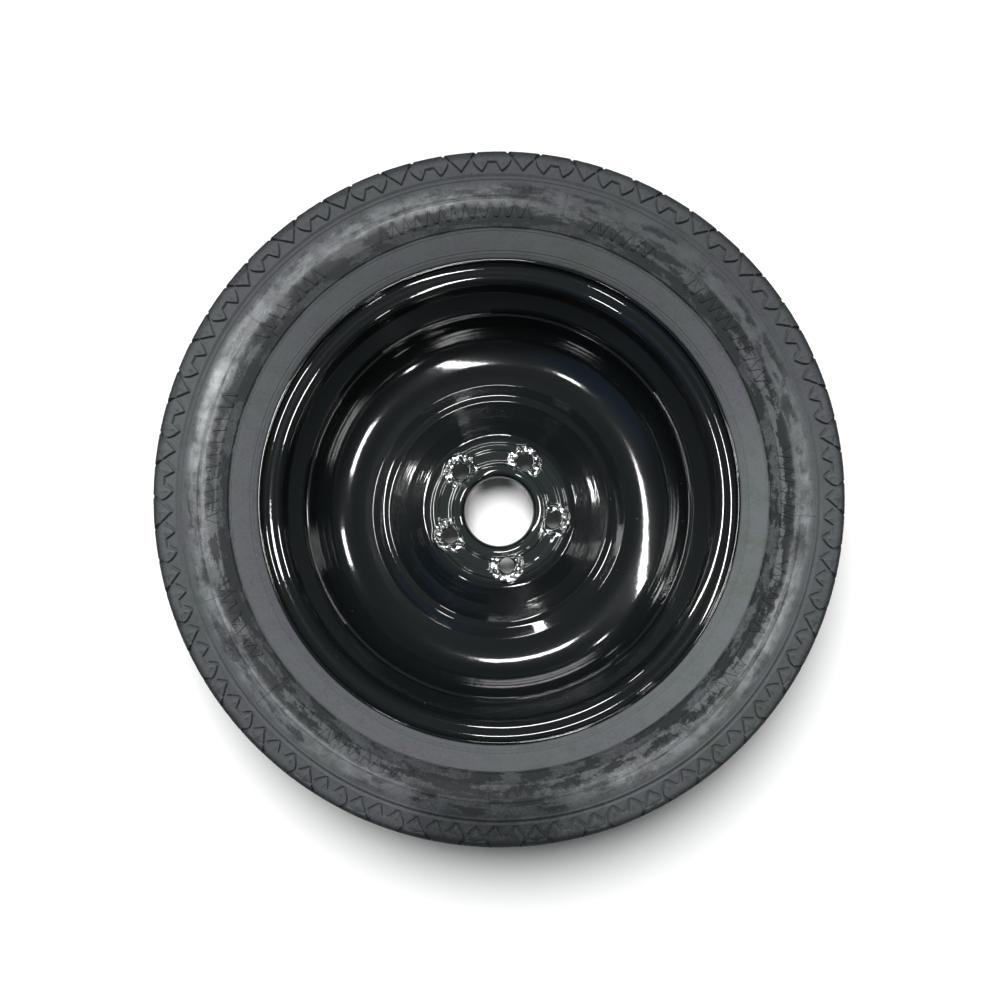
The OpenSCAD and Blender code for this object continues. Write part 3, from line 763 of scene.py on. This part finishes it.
def wallRelief(s, r):
    h = 0.0
    for place, width, height in s["rings"]:
        h += height * min(max((width - abs(r - place)) / (width * 0.5), 0.0), 1.0)
    return h


def wallLine(s, foot, rimFoot):
    # sidewall from the shoulder's foot to the rim, with its fine rings
    pitch = s["ringPitch"]
    places = {foot[0] - pitch * i for i in range(int((foot[0] - rimFoot[0]) / pitch) + 1)} | {rimFoot[0]}
    for place, width, _ in s["rings"]:
        places |= {place - width, place - width / 2, place + width / 2, place + width}
    points = []
    for r in sorted(places, reverse=True):
        if r < rimFoot[0]:
            continue
        far = foot if r > s["widestR"] else rimFoot
        dr, dz = far[0] - s["widestR"], s["wallTop"] - far[1]
        radius = (dr * dr + dz * dz) / (2 * dz)
        z = s["wallTop"] - radius + math.sqrt(radius ** 2 - (r - s["widestR"]) ** 2)
        points.append((r, z + wallRelief(s, r)))
    return points


def nearSegments(lines, s, t):
    best = 1e9
    for line in lines:
        for (a, b), (c, d) in zip(line, line[1:]):
            dx, dy = c - a, d - b
            k = min(max(((s - a) * dx + (t - b) * dy) / (dx * dx + dy * dy), 0.0), 1.0)
            best = min(best, math.hypot(s - a - k * dx, t - b - k * dy))
    return best


def besideLine(line, shift):
    # the line moved sideways, with mitred corners
    moved = []
    for i, (s, t) in enumerate(line):
        before = unit(s - line[i - 1][0], t - line[i - 1][1]) if i else None
        after = unit(line[i + 1][0] - s, line[i + 1][1] - t) if i + 1 < len(line) else None
        before, after = before or after, after or before
        nx, ny = -before[1] - after[1], before[0] + after[0]
        scale = shift / (1 + before[0] * after[0] + before[1] * after[1])
        moved.append((s + nx * scale, t + ny * scale))
    return moved


def softened(line, rounds=2):
    # corners of the line cut off again and again, with its ends kept
    for _ in range(rounds):
        cut = [line[0]]
        for i, (a, b) in enumerate(zip(line, line[1:])):
            if i:
                cut.append((a[0] * 0.75 + b[0] * 0.25, a[1] * 0.75 + b[1] * 0.25))
            if i < len(line) - 2:
                cut.append((a[0] * 0.25 + b[0] * 0.75, a[1] * 0.25 + b[1] * 0.75))
        line = cut + [line[-1]]
    return line


def treadCell(s, c, foot, shoulder):
    # one pitch, unrolled: distance up the shoulder and length around it, then laid on the tyre
    perDegree = math.radians(1) * c["meanR"]
    half = 180 / s["pitches"] * perDegree
    lengths = [0.0]
    for a, b in zip(shoulder, shoulder[1:]):
        lengths.append(lengths[-1] + math.dist(a, b))
    start = math.dist(foot, shoulder[0])
    rows = [s["cellStart"]] + [start + v for v in lengths]
    frameLine = [foot] + list(shoulder)
    frameAt = [0.0] + rows[1:]
    normals = []
    for i in range(len(frameLine)):
        a, b = frameLine[max(i - 1, 0)], frameLine[min(i + 1, len(frameLine) - 1)]
        if i <= 1:
            a, b = frameLine[0], frameLine[1]
        ux, uz = unit(b[0] - a[0], b[1] - a[1])
        normals.append((-uz, ux))

    def place(up):
        # point on the shoulder's line that far up, and its normal
        for i in range(len(frameAt) - 1):
            if up <= frameAt[i + 1] + 1e-6 or i == len(frameAt) - 2:
                k = (up - frameAt[i]) / (frameAt[i + 1] - frameAt[i])
                p, q, n, m = frameLine[i], frameLine[i + 1], normals[i], normals[i + 1]
                return ([p[j] + (q[j] - p[j]) * k for j in (0, 1)],
                        unit(*[n[j] + (m[j] - n[j]) * k for j in (0, 1)]))
    joinAt = c["spread"] * (c["joinUp"] - c["foot"]) / (c["edge"] - c["foot"])
    edgeAt, overAt = c["spread"] * perDegree, c["spread"] * 1.12 * perDegree
    arm = [(c["edge"], edgeAt), (c["foot"] + 5.0, joinAt * 0.42 * perDegree), (c["foot"], 0.0)]
    vee = [(c["over"], overAt)] + arm + [(u, -t) for u, t in reversed(arm[:-1])] + [(c["over"], -overAt)]
    grooves, dimples = [softened(vee)], []
    for side in (-1, 1):
        d = side * perDegree
        wave = [(c["joinUp"] + 3.0, (joinAt + 0.25) * d), (c["joinUp"] - 3.0, (joinAt + 0.45) * d),
                (c["foot"], (c["valley"] - 0.35) * d), (c["foot"], (c["valley"] + 0.25) * d),
                (c["plateauUp"], c["plateauStart"] * d)]
        grooves.append(softened(wave) + [(c["plateauUp"], side * half)])
        dimples.append([(c["dimple"][0] - 3.5, side * c["valley"] * perDegree),
                        (c["dimple"][1] - 3.5, side * c["valley"] * perDegree)])
    dimples.append([(c["dimple"][0], 0.0), (c["dimple"][1], 0.0)])

    def slope(lines, up, t, outer, inner):
        # 0 beside the lines, 1 on them
        return min(max((outer - nearSegments(lines, up, t)) / (outer - inner), 0.0), 1.0)

    def depth(up, t):
        return (c["dimpleRise"] * slope(dimples, up, t, c["dimpleTop"], c["dimpleFloor"])
                - c["depth"] * slope(grooves, up, t, c["halfTop"], c["halfFloor"]))
    verts, edges = [], []

    def addLine(points):
        first = len(verts)
        verts.extend(Vector(q) for q in points)
        edges.extend((first + i, first + i + 1) for i in range(len(points) - 1))
    for up in rows:
        addLine([(up, -half), (up, half)])
    for i in range(s["cellColumns"] + 1):
        t = -half + 2 * half * i / s["cellColumns"]
        addLine([(rows[0], t), (rows[-1], t)])
    for line in grooves:
        for shift in (c["halfTop"], c["halfFloor"]):
            left, right = besideLine(line, shift), besideLine(line, -shift)
            addLine(left)
            addLine(right)
            if abs(abs(line[-1][1]) - half) > 1e-6:
                addLine([left[-1], right[-1]])
    for line in dimples:
        for shift, out in ((c["dimpleTop"], 0.9), (c["dimpleFloor"], 0.3)):
            (a, t), (b, _) = line
            addLine([(a - out, t - shift * 0.6), (b + out, t - shift), (b + out, t + shift),
                     (a - out, t + shift * 0.6), (a - out, t - shift * 0.6)])
    flat, _, faces, _, _, _ = delaunay_2d_cdt(verts, edges, [], 0, 1e-3)
    made = []
    for p in flat:
        (r, z), (nr, nz) = place(p.x)
        h = depth(p.x, p.y)
        made.append((*polar((r + nr * h) * mm, math.radians(p.y / perDegree)), (z + nz * h) * mm))
    inside = [f for f in faces if abs(sum(flat[i].y for i in f) / len(f)) < half]
    return made, inside


def joinMesh(bm, mesh):
    bm.from_mesh(mesh)
    bpy.data.meshes.remove(mesh)


hatchShape = {
    "radius": 261.5, "long": 14.0, "wide": 2.1, "high": 1.05, "sunk": 1.5, "round": 0.35,
    "leans": (19.0, -19.0), "step": 2.4,
    # direction and number of ribs of each hatched field on the wall, in degrees
    "fields": ((-6, 15), (24, 22), (58, 12), (84, 26), (128, 16), (158, 22), (196, 14), (226, 24), (266, 18),
               (300, 24), (334, 13)),
    "ridges": (-64.0, -92.0, -141.0, -162.0, 143.0, 108.0, 77.6, 49.0, -2.0),
    "ridgeIn": 247.0, "ridgeOut": 289.0, "ridgeWide": 1.1, "ridgeHigh": 0.5,
}


def ribMesh(h, wallZ, lean):
    bm = bmesh.new()
    bmesh.ops.create_cube(bm, size=1.0)
    bmesh.ops.scale(bm, verts=bm.verts, vec=(h["long"] * mm, h["wide"] * mm, (h["high"] + h["sunk"]) * mm))
    bmesh.ops.bevel(bm, geom=bm.edges, offset=h["round"] * mm, segments=1, affect="EDGES")
    bm.transform(Matrix.Translation((h["radius"] * mm, 0.0, (wallZ + (h["high"] - h["sunk"]) / 2) * mm))
                 @ Matrix.Rotation(math.radians(lean), 4, "Z"))
    return meshFromBuild(bm, "rib")


def ridgeMesh(h, line):
    # thin radial mould line that follows the wall
    verts, faces = [], []
    inside = [(r, z) for r, z in line if h["ridgeIn"] <= r <= h["ridgeOut"]]
    for r, z in inside:
        for y, lift in ((-1, -0.4), (-0.5, 1), (0.5, 1), (1, -0.4)):
            verts.append((r * mm, y * h["ridgeWide"] * mm, (z + lift * h["ridgeHigh"]) * mm))
    for i in range(len(inside) - 1):
        for j in range(3):
            a = i * 4 + j
            faces.append((a, a + 1, a + 5, a + 4))
        faces.append((i * 4 + 3, i * 4, i * 4 + 4, i * 4 + 7))
    faces += [(0, 1, 2, 3), tuple(len(verts) - k for k in (1, 2, 3, 4))]
    return meshFromLists("ridge", verts, faces)


def makeTyre(s, c, h):
    foot, shoulder, crown = tyreLines(s)
    rim = rimShape
    lipR = rim["seatR"] + rim["flangeH"]
    rimFoot = (lipR + s["overLip"][0], rim["halfGap"] + rim["lipOut"] - s["overLip"][1])
    columns = s["pitches"] * s["cellColumns"]
    start = math.radians(s["firstPitch"] - 180 / s["pitches"])
    wall = wallLine(s, foot, rimFoot)
    ux, uz = unit(shoulder[0][0] - foot[0], shoulder[0][1] - foot[1])
    cellFoot = (foot[0] + s["cellStart"] * ux, foot[1] + s["cellStart"] * uz)
    wall = [cellFoot] + [q for q in wall if q[0] < foot[0] + 0.01]
    curl = arcPoints((lipR - rim["curlR"], rim["halfGap"] + rim["curlR"]), rim["curlR"] + s["gap"],
                     -s["rimLeave"], -90, 9)
    heel = arcPoints((rim["seatR"] + rim["heelR"], rim["halfGap"] - rim["heelR"]),
                     rim["heelR"] - s["gap"], 90, 180, 7)
    toe = (rim["seatR"] + s["gap"] - s["beadWidth"] * rim["slope"], rim["halfGap"] - s["beadWidth"])
    inner = (flank(s["widestR"], s["halfWidth"] - s["wall"], toe[0] + 9, toe[1] + 3, 10)[::-1]
             + flank(s["widestR"], s["halfWidth"] - s["wall"], foot[0] + 9, foot[1] - 14, 10)[1:]
             + arcPoints((s["outerR"] - s["crownWall"] - s["crownR"], 0.0), s["crownR"],
                         math.degrees(math.asin((s["treadWidth"] / 2 - 12) / s["crownR"])), 0, 4))
    upper = wall + curl + heel + [toe, (toe[0] + 1.5, toe[1] - 1.2)] + inner
    bm = bmesh.new()
    addLathe(bm, upper + flipped(upper[:-1]), columns, False, start)
    # crown between the outer grooves, with the grooves' own walls
    half = s["ribWidth"] / 2
    centreR = s["outerR"] - s["crownR"]

    def crownR(z):
        return centreR + math.sqrt(s["crownR"] ** 2 - z * z)
    tread = []
    for z0 in (s["ribZ"], 0.0, -s["ribZ"]):
        for dz, drop in ((half, 0.0), (half - 0.5, s["ribDepth"]), (0.5 - half, s["ribDepth"]), (-half, 0.0)):
            tread.append((crownR(z0 + dz) - drop, z0 + dz))
        if z0 > -1:
            for k in (1, 2, 3):
                z = z0 - half - (s["ribZ"] - s["ribWidth"]) * k / 4
                tread.append((crownR(z), z))
    tread[0] = crown[0]
    tread[-1] = (crown[0][0], -crown[0][1])
    addLathe(bm, tread, columns, False, start)
    made, faces = treadCell(s, c, foot, shoulder)
    tree = ringTree(dustAndPaintedLightRubber)
    for side in (1, -1):
        verts = [(x, y, z * side) for x, y, z in made]
        cell = meshFromLists("treadCell", verts, [f if side == 1 else f[::-1] for f in faces])
        joinMesh(bm, copiesAround(tree, cell, s["pitches"], s["firstPitch"], 360 / s["pitches"]))
    bmesh.ops.remove_doubles(bm, verts=bm.verts, dist=1e-5)
    bmesh.ops.recalc_face_normals(bm, faces=bm.faces)
    print("tyre shell", len(bm.faces), "open edges", sum(1 for e in bm.edges if len(e.link_faces) != 2))
    # moulded decoration of the walls: hatched fields and mould lines
    for side in (1, -1):
        parts = []
        for at, count in h["fields"]:
            for k, lean in enumerate(h["leans"]):
                parts.append((ribMesh(h, s["wallTop"], lean), (count + 1 - k) // 2,
                              at + k * h["step"] / 2, h["step"]))
        parts += [(ridgeMesh(h, wall), 1, at, 0.0) for at in h["ridges"]]
        for mesh, count, at, gap in parts:
            if side == -1:
                mesh.vertices.foreach_set("co", [q * (-1 if i % 3 == 2 else 1) for i, q in enumerate(
                    q for v in mesh.vertices for q in v.co)])
                mesh.flip_normals()
            joinMesh(bm, copiesAround(tree, mesh, count, at, gap))
    return finishMesh(bm, "tyreBody", 32.0, dustAndPaintedLightRubber)


rimShell = makeRim(rimShape)
print("rim made")
pressedDisc = makeDisc(discShape, padShape)
print("disc made")
weldBeads = makeWelds(weldShape)
print("welds made")
tyreBody = makeTyre(tyreShape, treadShape, hatchShape)
print("tyre made")

pieces = [(tyreBody, ["tyre"], "tyre"), (rimShell, ["rim"], "gloss_black_paint"),
          (pressedDisc, ["wheel_disc"], "gloss_black_paint")]
pieces += [(bead, [f"weld_seam_{k + 1}"], "gloss_black_paint") for k, bead in enumerate(weldBeads)]
for piece, stoodFor, slot in pieces:
    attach(piece, "wheel")
    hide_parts(*stoodFor)

finishes = {
    "valve_rubber": valveRubber, "valve_stem": brass, "core_housing": brass, "core_gasket": sealWhite,
    "core_pin": brass, "core_seal": valveRubber, "core_spring": springWire, "valve_cap": capPlastic,
    "cap_seal": valveRubber,
}
for node, material in finishes.items():
    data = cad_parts[node].data
    data.materials.clear()
    data.materials.append(material)

# Studio: pale floor, soft grey surroundings and a ring of lamps

studio = {
    "floorZ": -67.2, "floorSize": 3.0, "floorGlow": 0.02,
    "lampDistance": 2.2, "lampLevel": 50.0, "lampLeast": 0.12,
    "key": (347, 25), "keyDistance": 7.0, "keySize": 4.6, "keyLevel": 13.8,
    # what the world lights, and what the gloss mirrors overhead and from the walls
    "worldLevel": 0.03, "skyLevel": 0.055, "wallLevel": 0.09, "wallUp": (0.05, 0.4),
    "paintSky": (0.78, 0.95, 1.0, 1),
    "blueSky": (0.30, 0.55, 1.0, 1), "blueFrom": (222, 52), "blueLevel": 0.20, "blueNear": (0.86, 0.97),
    "camera": (0.0, -0.0785, 1.110), "tilt": 3.5, "lens": 41.21, "shift": (0.0009, 0.161),
}
# lamps: clockwise direction and height angle of both ends, in degrees, and their width in metres
lamps = (
    ((208, 25), (217, 25), 0.20), ((266, 15), (302, 65), 0.20), ((322, 72), (326, 72), 0.14),
    ((334, 32), (366, 32), 0.24), ((66, 51), (78, 51), 0.28), ((98, 35), (119, 35), 0.28),
    ((144, 71), (148, 71), 0.14), ((157, 46), (170, 19), 0.14),
)
rayKinds = ("Is Camera Ray", "Is Glossy Ray", "Is Transmission Ray")


def skyPoint(azimuth, zenith, distance):
    a, z = math.radians(azimuth), math.radians(zenith)
    return Vector((math.sin(a) * math.sin(z), math.cos(a) * math.sin(z), math.cos(z))) * distance


def makeLamps(s):
    for k, (first, second, width) in enumerate(lamps):
        a, b = skyPoint(*first, s["lampDistance"]), skyPoint(*second, s["lampDistance"])
        centre = (a + b) / 2
        data = bpy.data.lights.new(f"lamp{k + 1}", "AREA")
        data.shape = "RECTANGLE"
        data.size, data.size_y = max((b - a).length, s["lampLeast"]), width
        data.energy = s["lampLevel"] * math.pi * data.size * data.size_y
        lamp = addObject(f"lamp{k + 1}", data)
        lamp.visible_diffuse = False
        back = centre.normalized()
        along = (b - a).normalized()
        along = (along - back * along.dot(back)).normalized()
        across = back.cross(along)
        lamp.matrix_world = Matrix((
            (along.x, across.x, back.x, centre.x), (along.y, across.y, back.y, centre.y),
            (along.z, across.z, back.z, centre.z), (0, 0, 0, 1)))


def makeKey(s):
    # one broad lamp gives the soft shadow; the narrow lamps give the highlights
    centre = skyPoint(*s["key"], s["keyDistance"])
    data = bpy.data.lights.new("key", "AREA")
    data.shape, data.size = "DISK", s["keySize"]
    data.energy = s["keyLevel"] * math.pi * math.pi * (s["keySize"] / 2) ** 2
    key = addObject("key", data)
    key.visible_glossy = False
    key.rotation_mode = "QUATERNION"
    key.rotation_quaternion = centre.to_track_quat("Z", "Y")
    key.location = centre


def makeWorld(s):
    world = bpy.data.worlds.new("studio")
    world.use_nodes = True
    bpy.context.scene.world = world
    start = Wire(world.node_tree)
    camera, glossy, through = start.node("ShaderNodeLightPath").parts(*rayKinds)
    sky = start.node("ShaderNodeTexCoord", out="Generated")
    wall = 1.0 - sky.axes()[2].ease(*s["wallUp"])
    # a bluish corner of the room, which the bowl's upper right mirrors
    corner = start.node("ShaderNodeVectorMath", {"operation": "DOT_PRODUCT"},
                        {0: sky, 1: tuple(skyPoint(*s["blueFrom"], 1.0))}, out=1).ease(*s["blueNear"])
    seen = start.math("MAXIMUM", camera, through)
    inGloss = glossy * (s["skyLevel"] + s["wallLevel"] * wall + s["blueLevel"] * corner)
    paintSky = start.blend(corner, s["paintSky"], s["blueSky"])
    feed(next(n for n in world.node_tree.nodes if n.type == "BACKGROUND"), {
        "Strength": seen + (1.0 - seen) * (inGloss + (1.0 - glossy) * s["worldLevel"]),
        "Color": start.blend(seen, paintSky, (1, 1, 1, 1))})


def makeFloor(s):
    half = s["floorSize"] / 2
    z = s["floorZ"] * mm
    mesh = meshFromLists("floor", [(-half, -half, z), (half, -half, z), (half, half, z), (-half, half, z)],
                         [(0, 1, 2, 3)])
    floor = addObject("floor", mesh)
    material, shader, start, _ = newMaterial("paleFloor")
    camera, glossy, through = start.node("ShaderNodeLightPath").parts(*rayKinds)
    feed(shader, {"Base Color": (0.93, 0.93, 0.93, 1), "Roughness": 0.9, "Specular IOR Level": 0.1,
                  "Emission Color": (1, 1, 1, 1),
                  "Emission Strength": (camera + glossy + through) * s["floorGlow"]})
    mesh.materials.append(material)


def makeCamera(s):
    data = bpy.data.cameras.new("camera")
    data.sensor_width, data.lens = 36.0, s["lens"]
    data.shift_x, data.shift_y = s["shift"]
    data.clip_start, data.clip_end = 0.05, 50.0
    camera = addObject("camera", data)
    camera.location = s["camera"]
    camera.rotation_euler = (math.radians(-s["tilt"]), 0.0, 0.0)
    bpy.context.scene.camera = camera


makeLamps(studio)
makeKey(studio)
makeWorld(studio)
makeFloor(studio)
makeCamera(studio)
bpy.context.scene.view_settings.view_transform = "Standard"
print("studio made")
